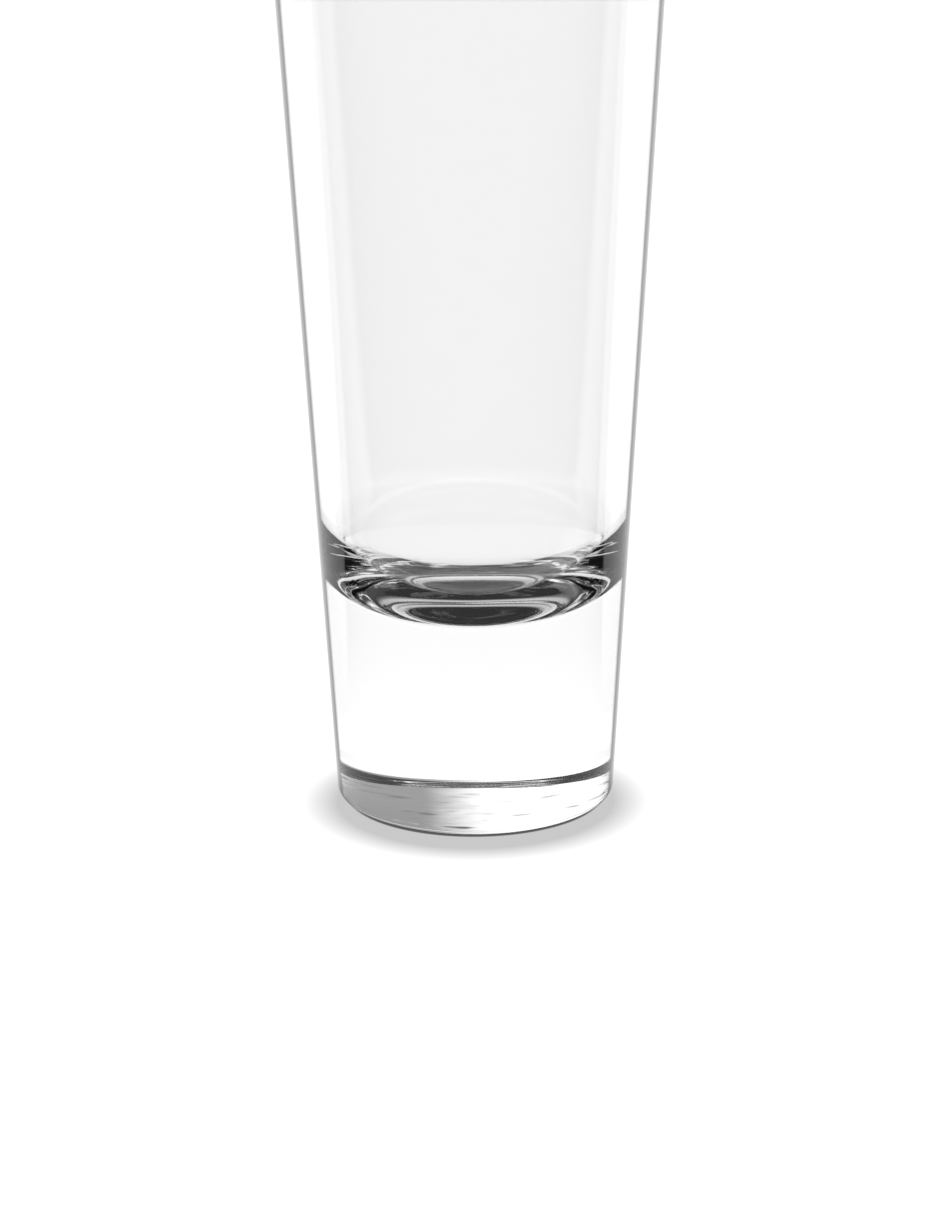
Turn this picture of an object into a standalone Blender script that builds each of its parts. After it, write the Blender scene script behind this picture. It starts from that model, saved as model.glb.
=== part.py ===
"""A tall water glass, pressed in one piece from clear glass.

The wall flares in a straight line from a heavy solid base to a rounded rim. The inside ends in a bowl-shaped floor,
and the underside is slightly hollow, so that the glass stands on a flat ring.
"""

import math

import bpy

# Driving dimensions, in metres.
HEIGHT = 0.140
BASE_DIAMETER = 0.043  # where the straight line of the outer wall meets the table
RIM_DIAMETER = 0.060  # where that line reaches the height of the rim
BASE_THICKNESS = 0.0306  # from the table up to the lowest point of the inside
WALL_AT_RIM = 0.0018  # measured level, as is the next one
WALL_AT_FLOOR = 0.0029  # where the straight inner wall, carried on down, reaches the level of the floor
CORNER_RADIUS = 0.0167  # between the inner wall and the floor
FLOOR_CURVE_RADIUS = 0.080  # the shallow bowl of the floor itself
HEEL_RADIUS = 0.0018  # between the outer wall and the table
FOOT_RING_WIDTH = 0.0012  # the flat ring that the glass stands on
HOLLOW_DEPTH = 0.0004  # how far the underside is hollowed inside that ring
HOLLOW_SLOPE_WIDTH = 0.0030  # of the smooth step from the ring up to the flat top of the hollow

# How finely the round shapes are divided.
SEGMENTS = 72
FLOOR_STEPS = 5
CORNER_STEPS = 12
RIM_STEPS = 8
HEEL_STEPS = 6
SLOPE_STEPS = 4
SEAM_MERGE_DISTANCE = 0.00001
SHARP_EDGE_ANGLE = math.radians(30)

# What the driving dimensions give: both walls as straight lines, each with its lean outwards per unit of height.
BASE_RADIUS = BASE_DIAMETER / 2
OUTER_LEAN = (RIM_DIAMETER - BASE_DIAMETER) / 2 / HEIGHT
INNER_LEAN = OUTER_LEAN + (WALL_AT_FLOOR - WALL_AT_RIM) / (HEIGHT - BASE_THICKNESS)
OUTER_LENGTH = math.hypot(1, OUTER_LEAN)  # of each wall, per unit of height
INNER_LENGTH = math.hypot(1, INNER_LEAN)


def outer_radius(height):
    """Radius of the outer wall's straight line at a height."""
    return BASE_RADIUS + OUTER_LEAN * height


def inner_radius(height):
    """Radius of the inner wall's straight line at a height."""
    return outer_radius(HEIGHT) - WALL_AT_RIM + INNER_LEAN * (height - HEIGHT)


def arc(centre, radius, start, end, steps):
    """Points as (radius, height) on an arc of the section, from one angle to another, both ends included."""
    angles = [start + (end - start) * step / steps for step in range(steps + 1)]
    return [(centre[0] + radius * math.cos(angle), centre[1] + radius * math.sin(angle)) for angle in angles]


def corner_centre():
    """Centre of the inside corner's arc, which touches the inner wall and runs smoothly into the floor's bowl."""
    floor_centre = BASE_THICKNESS + FLOOR_CURVE_RADIUS
    reach = FLOOR_CURVE_RADIUS - CORNER_RADIUS
    radius_at_zero = inner_radius(0) - CORNER_RADIUS * INNER_LENGTH
    # The centre lies on a line beside the wall and on a circle round the bowl's centre: a quadratic in its height.
    square = 1 + INNER_LEAN**2
    half_linear = radius_at_zero * INNER_LEAN - floor_centre
    constant = radius_at_zero**2 + floor_centre**2 - reach**2
    height = (-half_linear - math.sqrt(half_linear**2 - square * constant)) / square
    return radius_at_zero + INNER_LEAN * height, height


def inside_outline():
    """The inside of the section: from the axis over the floor and round the corner to the foot of the inner wall."""
    floor_centre = (0, BASE_THICKNESS + FLOOR_CURVE_RADIUS)
    centre = corner_centre()
    meeting = math.atan2(centre[1] - floor_centre[1], centre[0])
    bottom = -math.pi / 2
    floor = arc(floor_centre, FLOOR_CURVE_RADIUS, bottom, meeting, FLOOR_STEPS)
    floor[0] = (0, BASE_THICKNESS)
    corner = arc(centre, CORNER_RADIUS, meeting, -math.atan(INNER_LEAN), CORNER_STEPS)
    return floor + corner[1:]


def rim_outline():
    """The rim of the section: one arc that touches both walls and reaches the full height."""
    radius = WALL_AT_RIM / (OUTER_LENGTH + INNER_LENGTH + OUTER_LEAN - INNER_LEAN)
    height = HEIGHT - radius
    centre = (outer_radius(height) - radius * OUTER_LENGTH, height)
    return arc(centre, radius, math.pi - math.atan(INNER_LEAN), -math.atan(OUTER_LEAN), RIM_STEPS)


def underside_outline():
    """The foot of the section: the rounded heel, the flat ring and the shallow hollow, which ends on the axis."""
    bottom = -math.pi / 2
    top = math.pi / 2
    ring_outer = outer_radius(HEEL_RADIUS) - HEEL_RADIUS * OUTER_LENGTH
    ring_inner = ring_outer - FOOT_RING_WIDTH
    heel = arc((ring_outer, HEEL_RADIUS), HEEL_RADIUS, -math.atan(OUTER_LEAN), bottom, HEEL_STEPS)
    heel[-1] = (ring_outer, 0)
    # The step is two equal arcs, one turning up from the ring and one turning back to the level of the top.
    radius = (HOLLOW_SLOPE_WIDTH**2 + HOLLOW_DEPTH**2) / (4 * HOLLOW_DEPTH)
    turn = math.asin(HOLLOW_SLOPE_WIDTH / (2 * radius))
    top_centre = (ring_inner - HOLLOW_SLOPE_WIDTH, HOLLOW_DEPTH - radius)
    rise = arc((ring_inner, radius), radius, bottom, bottom - turn, SLOPE_STEPS)
    rise[0] = (ring_inner, 0)
    level_off = arc(top_centre, radius, top - turn, top, SLOPE_STEPS)
    return heel + rise + level_off[1:] + [(0, HOLLOW_DEPTH)]


def turned(name, outline):
    """A solid of revolution about Z, from half of its section as (radius, height) points that end on the axis."""
    mesh = bpy.data.meshes.new(name)
    points = [(radius, 0, height) for radius, height in outline]
    edges = [(index, index + 1) for index in range(len(points) - 1)]
    mesh.from_pydata(points, edges, [])
    piece = bpy.data.objects.new(name, mesh)
    bpy.context.scene.collection.objects.link(piece)
    turn = piece.modifiers.new("turn", "SCREW")
    turn.steps = turn.render_steps = SEGMENTS
    turn.use_merge_vertices = True
    turn.merge_threshold = SEAM_MERGE_DISTANCE
    bpy.context.view_layer.objects.active = piece
    bpy.ops.object.modifier_apply(modifier=turn.name)
    mesh.shade_smooth()
    mesh.set_sharp_from_angle(angle=SHARP_EDGE_ANGLE)
    return piece


def clear_glass():
    """Clear soda-lime glass with a fire-polished surface."""
    material = bpy.data.materials.new("clear_glass")
    material.use_nodes = True
    surface = material.node_tree.nodes["Principled BSDF"]
    surface.inputs["Base Color"].default_value = (0.97, 0.98, 0.98, 1)
    surface.inputs["Roughness"].default_value = 0.02
    surface.inputs["Metallic"].default_value = 0
    surface.inputs["Transmission Weight"].default_value = 1
    surface.inputs["IOR"].default_value = 1.52
    return material


for leftover in list(bpy.data.objects):
    bpy.data.objects.remove(leftover)

glass = turned("glass", inside_outline() + rim_outline() + underside_outline())
glass.data.materials.append(clear_glass())
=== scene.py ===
import math

import bpy
from mathutils import Matrix, Vector


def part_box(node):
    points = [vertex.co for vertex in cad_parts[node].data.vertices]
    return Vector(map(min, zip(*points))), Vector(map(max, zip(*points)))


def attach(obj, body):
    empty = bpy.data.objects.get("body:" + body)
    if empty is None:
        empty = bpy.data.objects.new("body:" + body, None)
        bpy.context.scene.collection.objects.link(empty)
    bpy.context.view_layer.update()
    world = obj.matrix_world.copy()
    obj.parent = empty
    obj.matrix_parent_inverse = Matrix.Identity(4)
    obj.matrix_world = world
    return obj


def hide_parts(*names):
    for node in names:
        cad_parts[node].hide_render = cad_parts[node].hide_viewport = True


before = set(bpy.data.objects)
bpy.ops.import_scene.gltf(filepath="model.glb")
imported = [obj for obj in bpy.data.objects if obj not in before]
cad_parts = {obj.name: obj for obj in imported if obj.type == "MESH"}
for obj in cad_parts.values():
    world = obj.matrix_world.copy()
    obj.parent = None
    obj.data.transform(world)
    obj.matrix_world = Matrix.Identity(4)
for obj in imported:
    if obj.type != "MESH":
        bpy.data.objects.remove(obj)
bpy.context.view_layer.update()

# Glass
# The whole object: a tall conical water glass, pressed in a mould from one gob of clear soda-lime glass, with
# a plunger that leaves the bowl-shaped floor. The rim and both walls are fire-polished, and the foot is left
# as it was pressed.
foot_corner, rim_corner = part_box("glass")
HEIGHT = rim_corner.z - foot_corner.z
BASE_RADIUS = 0.0215  # where the straight line of the outer wall meets the table
RIM_RADIUS = 0.030  # where that line reaches the height of the rim
BASE_THICKNESS = 0.0306
WALL_AT_RIM = 0.0018
WALL_AT_FLOOR = 0.0029
CORNER_RADIUS = 0.0167
FLOOR_CURVE_RADIUS = 0.080
HEEL_RADIUS = 0.0018
FOOT_RING_WIDTH = 0.0012
HOLLOW_DEPTH = 0.0004
HOLLOW_SLOPE_WIDTH = 0.0030
OUTER_LEAN = (RIM_RADIUS - BASE_RADIUS) / HEIGHT
INNER_LEAN = OUTER_LEAN + (WALL_AT_FLOOR - WALL_AT_RIM) / (HEIGHT - BASE_THICKNESS)
OUTER_LENGTH = math.hypot(1, OUTER_LEAN)  # of each wall, per unit of height
INNER_LENGTH = math.hypot(1, INNER_LEAN)
TOP = math.pi / 2  # angles on an arc of the section
BOTTOM = -math.pi / 2

# How finely the glass is divided: round the axis, and along each stretch of its section.
SEGMENTS = 256
FLOOR_STEPS = 16
CORNER_STEPS = 32
INNER_WALL_STEPS = 24
RIM_STEPS = 16
OUTER_WALL_STEPS = 32
HEEL_STEPS = 16
RING_STEPS = 4
SLOPE_STEPS = 12
HOLLOW_STEPS = 32
SEAM_MERGE_DISTANCE = 0.000005
SHARP_EDGE_ANGLE = math.radians(40)


def outer_radius(height):
    """Radius of the outer wall's straight line at a height."""
    return BASE_RADIUS + OUTER_LEAN * height


def inner_radius(height):
    """Radius of the inner wall's straight line at a height."""
    return RIM_RADIUS - WALL_AT_RIM + INNER_LEAN * (height - HEIGHT)


def arc(centre, radius, start, end, steps):
    """Points (radius, height) of the section on an arc from one angle to another, both ends included."""
    angles = [start + (end - start) * step / steps for step in range(steps + 1)]
    return [(centre[0] + radius * math.cos(angle), centre[1] + radius * math.sin(angle)) for angle in angles]


def line(start, end, steps):
    """Points between two points of the section, neither included."""
    return [tuple(Vector(start).lerp(Vector(end), step / steps)) for step in range(1, steps)]


# The floor and its corner: two arcs that meet smoothly. The corner's centre lies on a line beside the inner
# wall and on a circle round the floor's centre, which is a quadratic in its height.
floor_centre = BASE_THICKNESS + FLOOR_CURVE_RADIUS
corner_reach = FLOOR_CURVE_RADIUS - CORNER_RADIUS
corner_offset = inner_radius(0) - CORNER_RADIUS * INNER_LENGTH
square = 1 + INNER_LEAN**2
half_linear = corner_offset * INNER_LEAN - floor_centre
constant = corner_offset**2 + floor_centre**2 - corner_reach**2
corner_height = (-half_linear - math.sqrt(half_linear**2 - square * constant)) / square
corner_centre = (corner_offset + INNER_LEAN * corner_height, corner_height)
meeting = math.atan2(corner_height - floor_centre, corner_centre[0])
floor_arc = arc((0, floor_centre), FLOOR_CURVE_RADIUS, BOTTOM, meeting, FLOOR_STEPS)
floor_arc[0] = (0, BASE_THICKNESS)
corner_arc = arc(corner_centre, CORNER_RADIUS, meeting, -math.atan(INNER_LEAN), CORNER_STEPS)

# The rim: one arc that touches both walls.
rim_arc_radius = WALL_AT_RIM / (OUTER_LENGTH + INNER_LENGTH + OUTER_LEAN - INNER_LEAN)
rim_height = HEIGHT - rim_arc_radius
rim_centre = (outer_radius(rim_height) - rim_arc_radius * OUTER_LENGTH, rim_height)
rim_arc = arc(rim_centre, rim_arc_radius, math.pi - math.atan(INNER_LEAN), -math.atan(OUTER_LEAN), RIM_STEPS)

# The foot: a rounded heel, the flat ring that the glass stands on, and inside it a shallow hollow. The step up
# to the hollow is two equal arcs, one turning up from the ring and one turning back to the level of the top.
ring_outer = outer_radius(HEEL_RADIUS) - HEEL_RADIUS * OUTER_LENGTH
ring_inner = ring_outer - FOOT_RING_WIDTH
heel_arc = arc((ring_outer, HEEL_RADIUS), HEEL_RADIUS, -math.atan(OUTER_LEAN), BOTTOM, HEEL_STEPS)
slope_radius = (HOLLOW_SLOPE_WIDTH**2 + HOLLOW_DEPTH**2) / (4 * HOLLOW_DEPTH)
slope_turn = math.asin(HOLLOW_SLOPE_WIDTH / (2 * slope_radius))
top_edge = ring_inner - HOLLOW_SLOPE_WIDTH
rise_arc = arc((ring_inner, slope_radius), slope_radius, BOTTOM, BOTTOM - slope_turn, SLOPE_STEPS)
level_arc = arc((top_edge, HOLLOW_DEPTH - slope_radius), slope_radius, TOP - slope_turn, TOP, SLOPE_STEPS)
hollow_top = (0, HOLLOW_DEPTH)

outline = floor_arc + corner_arc[1:] + line(corner_arc[-1], rim_arc[0], INNER_WALL_STEPS) + rim_arc
outline += line(rim_arc[-1], heel_arc[0], OUTER_WALL_STEPS) + heel_arc
outline += line(heel_arc[-1], rise_arc[0], RING_STEPS) + rise_arc + level_arc[1:]
outline += line(level_arc[-1], hollow_top, HOLLOW_STEPS) + [hollow_top]

# Half of the section is drawn from a single vertex and spun about the axis.
bpy.ops.object.select_all(action="DESELECT")
bpy.ops.mesh.primitive_plane_add(size=HEIGHT)
glass = bpy.context.object
glass.name = "pressed_glass"
bpy.ops.object.mode_set(mode="EDIT")
bpy.ops.mesh.merge(type="CENTER")
bpy.ops.transform.translate(value=(outline[0][0], 0, outline[0][1]))
for start, end in zip(outline, outline[1:]):
    step = (end[0] - start[0], 0, end[1] - start[1])
    bpy.ops.mesh.extrude_region_move(TRANSFORM_OT_translate={"value": step})
bpy.ops.mesh.select_all(action="SELECT")
bpy.ops.mesh.spin(steps=SEGMENTS, angle=math.tau, center=(0, 0, 0), axis=(0, 0, 1))
bpy.ops.mesh.select_all(action="SELECT")
bpy.ops.mesh.remove_doubles(threshold=SEAM_MERGE_DISTANCE)
bpy.ops.mesh.normals_make_consistent(inside=False)
bpy.ops.object.mode_set(mode="OBJECT")
bpy.ops.object.shade_smooth_by_angle(angle=SHARP_EDGE_ANGLE)

# The top of the hollow is left as it came out of the mould, slightly uneven.
UNEVENNESS = 0.0004
UNEVENNESS_SIZE = 0.007
in_hollow = [v.index for v in glass.data.vertices if v.co.z < HEEL_RADIUS and v.co.xy.length < top_edge]
glass.vertex_groups.new(name="hollow").add(in_hollow, 1, "REPLACE")
clouds = bpy.data.textures.new("unevenness", "CLOUDS")
clouds.noise_scale = UNEVENNESS_SIZE
uneven = glass.modifiers.new("uneven_hollow", "DISPLACE")
uneven.texture = clouds
uneven.vertex_group = "hollow"
uneven.direction = "Z"
uneven.strength = UNEVENNESS
bpy.ops.object.modifier_apply(modifier=uneven.name)


def math_outputs(tree, kind, operation, values):
    """Outputs of a new math node in a tree, whose inputs are plain values or the outputs of other nodes."""
    node = tree.nodes.new(kind)
    node.operation = operation
    for socket, value in zip(node.inputs, values):
        if isinstance(value, bpy.types.NodeSocket):
            tree.links.new(value, socket)
        else:
            socket.default_value = value
    return node.outputs


def number(tree, operation, *values):
    """A number worked out from other numbers."""
    return math_outputs(tree, "ShaderNodeMath", operation, values)["Value"]


def measure(tree, operation, *vectors):
    """A number worked out from vectors, such as a length."""
    return math_outputs(tree, "ShaderNodeVectorMath", operation, vectors)["Value"]


def vector(tree, operation, *vectors):
    """A vector worked out from other vectors."""
    return math_outputs(tree, "ShaderNodeVectorMath", operation, vectors)["Vector"]


def ramp(tree, value, start, end, low, high, interpolation="SMOOTHSTEP"):
    """A number that goes from low to high while a value goes from start to end."""
    node = tree.nodes.new("ShaderNodeMapRange")
    node.interpolation_type = interpolation
    tree.links.new(value, node.inputs["Value"])
    for name, limit in (("From Min", start), ("From Max", end), ("To Min", low), ("To Max", high)):
        node.inputs[name].default_value = limit
    return node.outputs["Result"]


# Clear glass, with painted shade in its tint where the outer wall is seen edge-on, drawing a dark outline.
GLASS_TINT = 0.975
PAINTED_OUTLINE_TINT = 0.0
OUTLINE_START = 0.73  # how far the surface is turned away from view, where 1 is edge-on
OUTLINE_FULL = 0.79
OUTER_SKIN = 0.75 * WALL_AT_RIM  # how far inside the outer wall's line that still counts as the outer wall
GLASS_IOR = 1.52
clear_glass = bpy.data.materials.new("clear_glass")
clear_glass.use_nodes = True
tree = clear_glass.node_tree
surface = tree.nodes["Principled BSDF"]
surface.inputs["IOR"].default_value = GLASS_IOR
surface.inputs["Transmission Weight"].default_value = 1
place = tree.nodes.new("ShaderNodeTexCoord").outputs["Object"]
height = measure(tree, "DOT_PRODUCT", place, (0, 0, 1))
from_axis = measure(tree, "LENGTH", vector(tree, "MULTIPLY", place, (1, 1, 0)))
skin_line = number(tree, "MULTIPLY_ADD", height, OUTER_LEAN, BASE_RADIUS - OUTER_SKIN)
outer_wall = number(tree, "GREATER_THAN", from_axis, skin_line)
# Painted shade: the glass's colour goes dark where the outer wall turns edge-on, so its outline is drawn
# rather than lit.
facing_away = tree.nodes.new("ShaderNodeLayerWeight").outputs["Facing"]
edge_on = ramp(tree, facing_away, OUTLINE_START, OUTLINE_FULL, 0, 1)
painted_outline_amount = number(tree, "MULTIPLY", edge_on, outer_wall)
tint_with_painted_outline = ramp(tree, painted_outline_amount, 0, 1, GLASS_TINT, PAINTED_OUTLINE_TINT, "LINEAR")
tree.links.new(tint_with_painted_outline, surface.inputs["Base Color"])

# Faint waves, drawn out along the height of the walls.
WAVE_SCALE = (70, 70, 9)  # waves per metre along each axis
WAVE_HEIGHT = 0.00006
waves = tree.nodes.new("ShaderNodeTexNoise")
waves.inputs["Scale"].default_value = 1
tree.links.new(vector(tree, "MULTIPLY", place, WAVE_SCALE), waves.inputs["Vector"])
wavy = tree.nodes.new("ShaderNodeBump")
wavy.inputs["Distance"].default_value = WAVE_HEIGHT
tree.links.new(waves.outputs["Fac"], wavy.inputs["Height"])
tree.links.new(wavy.outputs["Normal"], surface.inputs["Normal"])

# Scuffs from tables on the ring that the glass stands on.
POLISHED_ROUGHNESS = 0.02
SCUFF_ROUGHNESS = 0.35
SCUFF_SCALE = 900
SCUFF_START = 0.45  # of the noise, where the scuffs begin and where they are strongest
SCUFF_FULL = 0.65
SCUFF_HEIGHT = 0.00015  # how far up from the table they reach
scuffs = tree.nodes.new("ShaderNodeTexNoise")
scuffs.inputs["Scale"].default_value = SCUFF_SCALE
tree.links.new(place, scuffs.inputs["Vector"])
scuffed = ramp(tree, scuffs.outputs["Fac"], SCUFF_START, SCUFF_FULL, POLISHED_ROUGHNESS, SCUFF_ROUGHNESS)
ring_roughness = number(tree, "MULTIPLY", scuffed, number(tree, "LESS_THAN", height, SCUFF_HEIGHT))
roughness = number(tree, "MAXIMUM", ring_roughness, POLISHED_ROUGHNESS)
tree.links.new(roughness, surface.inputs["Roughness"])

glass.data.materials.append(clear_glass)
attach(glass, "root")
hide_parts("glass")

# Floor
# A plain pale table top, much larger than the view, which gives off an even white light. Shade is painted into
# that light: it is dim under the foot, along the near side of the heel, and in a soft painted shadow round the
# foot. In reflections its near side is painted dark, a painted reflection standing in for the dim room round a
# camera.
FLOOR_RADIUS = 12
FLOOR_SIDES = 96
AIR_GAP = 0.00005  # between the foot and the table
FLOOR_LIGHT = 1.09
# Painted shadow: a soft disc round the foot, centred a little towards the camera, where the table's light is
# drawn dimmer.
SHADE_LIGHT = 0.585
SHADE_CENTRE = (0, -0.0045, 0)
SHADE_INNER_RADIUS = 0.0215
SHADE_OUTER_RADIUS = 0.0277
# Painted shade under the foot: the table's light is drawn dim under its middle and rises towards the foot's
# edge.
UNDER_FOOT_LIGHT = 0.03  # it rises from here to the light at the foot's edge
UNDER_FOOT_RADIUS = 0.0165
FOOT_EDGE_LIGHT = 1.0
# Painted contact shadow: a thin dark ring drawn in the table's light round the heel, a little off centre
# towards the camera.
CONTACT_LIGHT = 0.10  # where the rounded heel nears the table
CONTACT_CENTRE = (0, -0.0008, 0)
CONTACT_INNER_RADIUS = 0.0199
CONTACT_OUTER_RADIUS = 0.0208
# Painted reflection: the table's near side turns dark only where it is seen in a reflection, standing in for a
# dim room round the camera.
NEAR_SIDE_LIGHT = 0.08
NEAR_SIDE_ANGLE = math.radians(106)  # to either side of the camera
NEAR_SIDE_BLEND = math.radians(4)
NEAR_SIDE_START = 0.05  # from the axis, beyond the shade
NEAR_SIDE_FULL = 0.10


def mixed(tree, amount, first, second):
    """A number that goes from the first of two to the second while an amount goes from 0 to 1."""
    node = tree.nodes.new("ShaderNodeMix")
    for name, value in (("Factor", amount), ("A", first), ("B", second)):
        if isinstance(value, bpy.types.NodeSocket):
            tree.links.new(value, node.inputs[name])
        else:
            node.inputs[name].default_value = value
    return node.outputs["Result"]


bpy.ops.object.select_all(action="DESELECT")
bpy.ops.mesh.primitive_circle_add(
    vertices=FLOOR_SIDES, radius=FLOOR_RADIUS, fill_type="NGON", location=(0, 0, -AIR_GAP)
)
floor = bpy.context.object
floor.name = "floor"
pale = bpy.data.materials.new("pale_floor")
pale.use_nodes = True
tree = pale.node_tree
tree.nodes.remove(tree.nodes["Principled BSDF"])
place = tree.nodes.new("ShaderNodeNewGeometry").outputs["Position"]
from_axis = measure(tree, "LENGTH", place)
# The painted shadow round the foot.
from_shade = measure(tree, "DISTANCE", place, SHADE_CENTRE)
shade = ramp(tree, from_shade, SHADE_INNER_RADIUS, SHADE_OUTER_RADIUS, SHADE_LIGHT, FLOOR_LIGHT, "LINEAR")
from_contact = measure(tree, "DISTANCE", place, CONTACT_CENTRE)
painted_contact_shadow = ramp(tree, from_contact, CONTACT_INNER_RADIUS, CONTACT_OUTER_RADIUS, CONTACT_LIGHT, FLOOR_LIGHT)
painted_shade_under_foot = ramp(tree, from_axis, UNDER_FOOT_RADIUS, ring_outer, UNDER_FOOT_LIGHT, FOOT_EDGE_LIGHT)
# The painted shade under the foot inside the ring, the painted contact shadow outside it.
foot_light = mixed(tree, number(tree, "LESS_THAN", from_axis, ring_outer), painted_contact_shadow, painted_shade_under_foot)
floor_light = number(tree, "MINIMUM", foot_light, shade)
away_from_camera = measure(tree, "DOT_PRODUCT", vector(tree, "NORMALIZE", place), (0, 1, 0))
far_edge = -math.cos(NEAR_SIDE_ANGLE)
near_edge = -math.cos(NEAR_SIDE_ANGLE - NEAR_SIDE_BLEND)
turned_to_camera = ramp(tree, away_from_camera, far_edge, near_edge, 0, 1)
beyond_shade = ramp(tree, from_axis, NEAR_SIDE_START, NEAR_SIDE_FULL, 0, 1)
near_side = number(tree, "MULTIPLY", turned_to_camera, beyond_shade)
# Only in reflections: the painted dark reflection of the near side.
reflections = tree.nodes.new("ShaderNodeLightPath").outputs["Glossy Depth"]
painted_dark_reflection = number(tree, "MULTIPLY", near_side, number(tree, "MINIMUM", reflections, 1))
glow = tree.nodes.new("ShaderNodeEmission")
tree.links.new(mixed(tree, painted_dark_reflection, floor_light, NEAR_SIDE_LIGHT), glow.inputs["Strength"])
tree.links.new(glow.outputs["Emission"], tree.nodes["Material Output"].inputs["Surface"])
floor.data.materials.append(pale)

# Light
# A low pale backdrop behind the glass, with one broad soft light to its left, in a dim room with a dark
# ceiling. The white of the table carries on a little way up all round, as a sweep, so that no horizon shows.
CEILING_LIGHT = 0.03
CEILING_START = math.radians(25)  # above the horizon
CEILING_FULL = math.radians(40)
ROOM_LIGHT = 0.08
BACKDROP_LIGHT = 0.30
BACKDROP_START = math.radians(90)  # to either side of the middle of the backdrop
BACKDROP_FULL = math.radians(55)
SWEEP_START = math.radians(5)  # above the horizon, where the sweep starts to fade
SWEEP_END = math.radians(9)
SOFT_LIGHT = 1.0
SOFT_LIGHT_AZIMUTH = math.radians(-32)
SOFT_LIGHT_ELEVATION = math.radians(20)
SOFT_LIGHT_INNER = math.radians(18)  # from the middle of the light to where it starts to fade
SOFT_LIGHT_OUTER = math.radians(46)
world = bpy.data.worlds.new("studio")
bpy.context.scene.world = world
world.use_nodes = True
tree = world.node_tree
direction = tree.nodes.new("ShaderNodeTexCoord").outputs["Generated"]
level_share = math.cos(SOFT_LIGHT_ELEVATION)
to_soft_light = (
    math.sin(SOFT_LIGHT_AZIMUTH) * level_share,
    math.cos(SOFT_LIGHT_AZIMUTH) * level_share,
    math.sin(SOFT_LIGHT_ELEVATION),
)
towards = measure(tree, "DOT_PRODUCT", direction, to_soft_light)
soft_light = ramp(tree, towards, math.cos(SOFT_LIGHT_OUTER), math.cos(SOFT_LIGHT_INNER), 0, SOFT_LIGHT)
behind = measure(tree, "DOT_PRODUCT", direction, (0, 1, 0))
backdrop = ramp(tree, behind, math.cos(BACKDROP_START), math.cos(BACKDROP_FULL), ROOM_LIGHT, BACKDROP_LIGHT)
upwards = measure(tree, "DOT_PRODUCT", direction, (0, 0, 1))
below_ceiling = ramp(tree, upwards, math.sin(CEILING_FULL), math.sin(CEILING_START), 0, 1)
low_light = number(tree, "ADD", soft_light, backdrop)
room = number(tree, "MULTIPLY_ADD", low_light, below_ceiling, CEILING_LIGHT)
sweep = ramp(tree, upwards, math.sin(SWEEP_START), math.sin(SWEEP_END), FLOOR_LIGHT, 0)
background = tree.nodes["Background"]
background.inputs["Color"].default_value = (1, 1, 1, 1)
tree.links.new(number(tree, "MAXIMUM", room, sweep), background.inputs["Strength"])

# Camera
# It looks down at the glass from 20 degrees above the table, through a long lens, and its frame cuts off the
# rim. It is placed by where the foot lies in the picture and how wide it is there.
IMAGE_WIDTH = 940
IMAGE_HEIGHT = 1215
FOOT_PIXEL = Vector((475.5, 789.6))  # where the centre of the foot is seen
FOOT_WIDTH_PIXELS = 273.5  # what the base's diameter measures there
CAMERA_DISTANCE = 0.786
CAMERA_ELEVATION = math.radians(20)
CAMERA_ROLL = math.radians(-0.42)
SENSOR_SIZE = 36  # in millimetres, along the longer side of the picture
focal_pixels = FOOT_WIDTH_PIXELS / (2 * BASE_RADIUS) * CAMERA_DISTANCE
camera_data = bpy.data.cameras.new("camera")
camera_data.sensor_width = SENSOR_SIZE
camera_data.lens = SENSOR_SIZE * focal_pixels / IMAGE_HEIGHT
from_centre = Vector((FOOT_PIXEL.x - IMAGE_WIDTH / 2, IMAGE_HEIGHT / 2 - FOOT_PIXEL.y))
from_centre = Matrix.Rotation(CAMERA_ROLL, 2) @ from_centre
pitch = math.pi / 2 - CAMERA_ELEVATION - math.atan2(from_centre.y, focal_pixels)
yaw = math.atan2(from_centre.x, focal_pixels) / math.cos(CAMERA_ELEVATION)
aim = Matrix.Rotation(yaw, 4, "Z") @ Matrix.Rotation(pitch, 4, "X") @ Matrix.Rotation(CAMERA_ROLL, 4, "Z")
camera_place = Vector((0, -math.cos(CAMERA_ELEVATION), math.sin(CAMERA_ELEVATION))) * CAMERA_DISTANCE
camera = bpy.data.objects.new("camera", camera_data)
camera.matrix_world = Matrix.Translation(camera_place) @ aim
bpy.context.scene.collection.objects.link(camera)
bpy.context.scene.camera = camera

# The white of the floor stays white. Light is followed through every wall of the glass, and through at most
# six reflections on its way.
bpy.context.scene.view_settings.view_transform = "Standard"
bpy.context.scene.cycles.caustics_refractive = False
bpy.context.scene.cycles.caustics_reflective = False
bpy.context.scene.cycles.max_bounces = 24
bpy.context.scene.cycles.glossy_bounces = 6
bpy.context.scene.cycles.transmission_bounces = 24
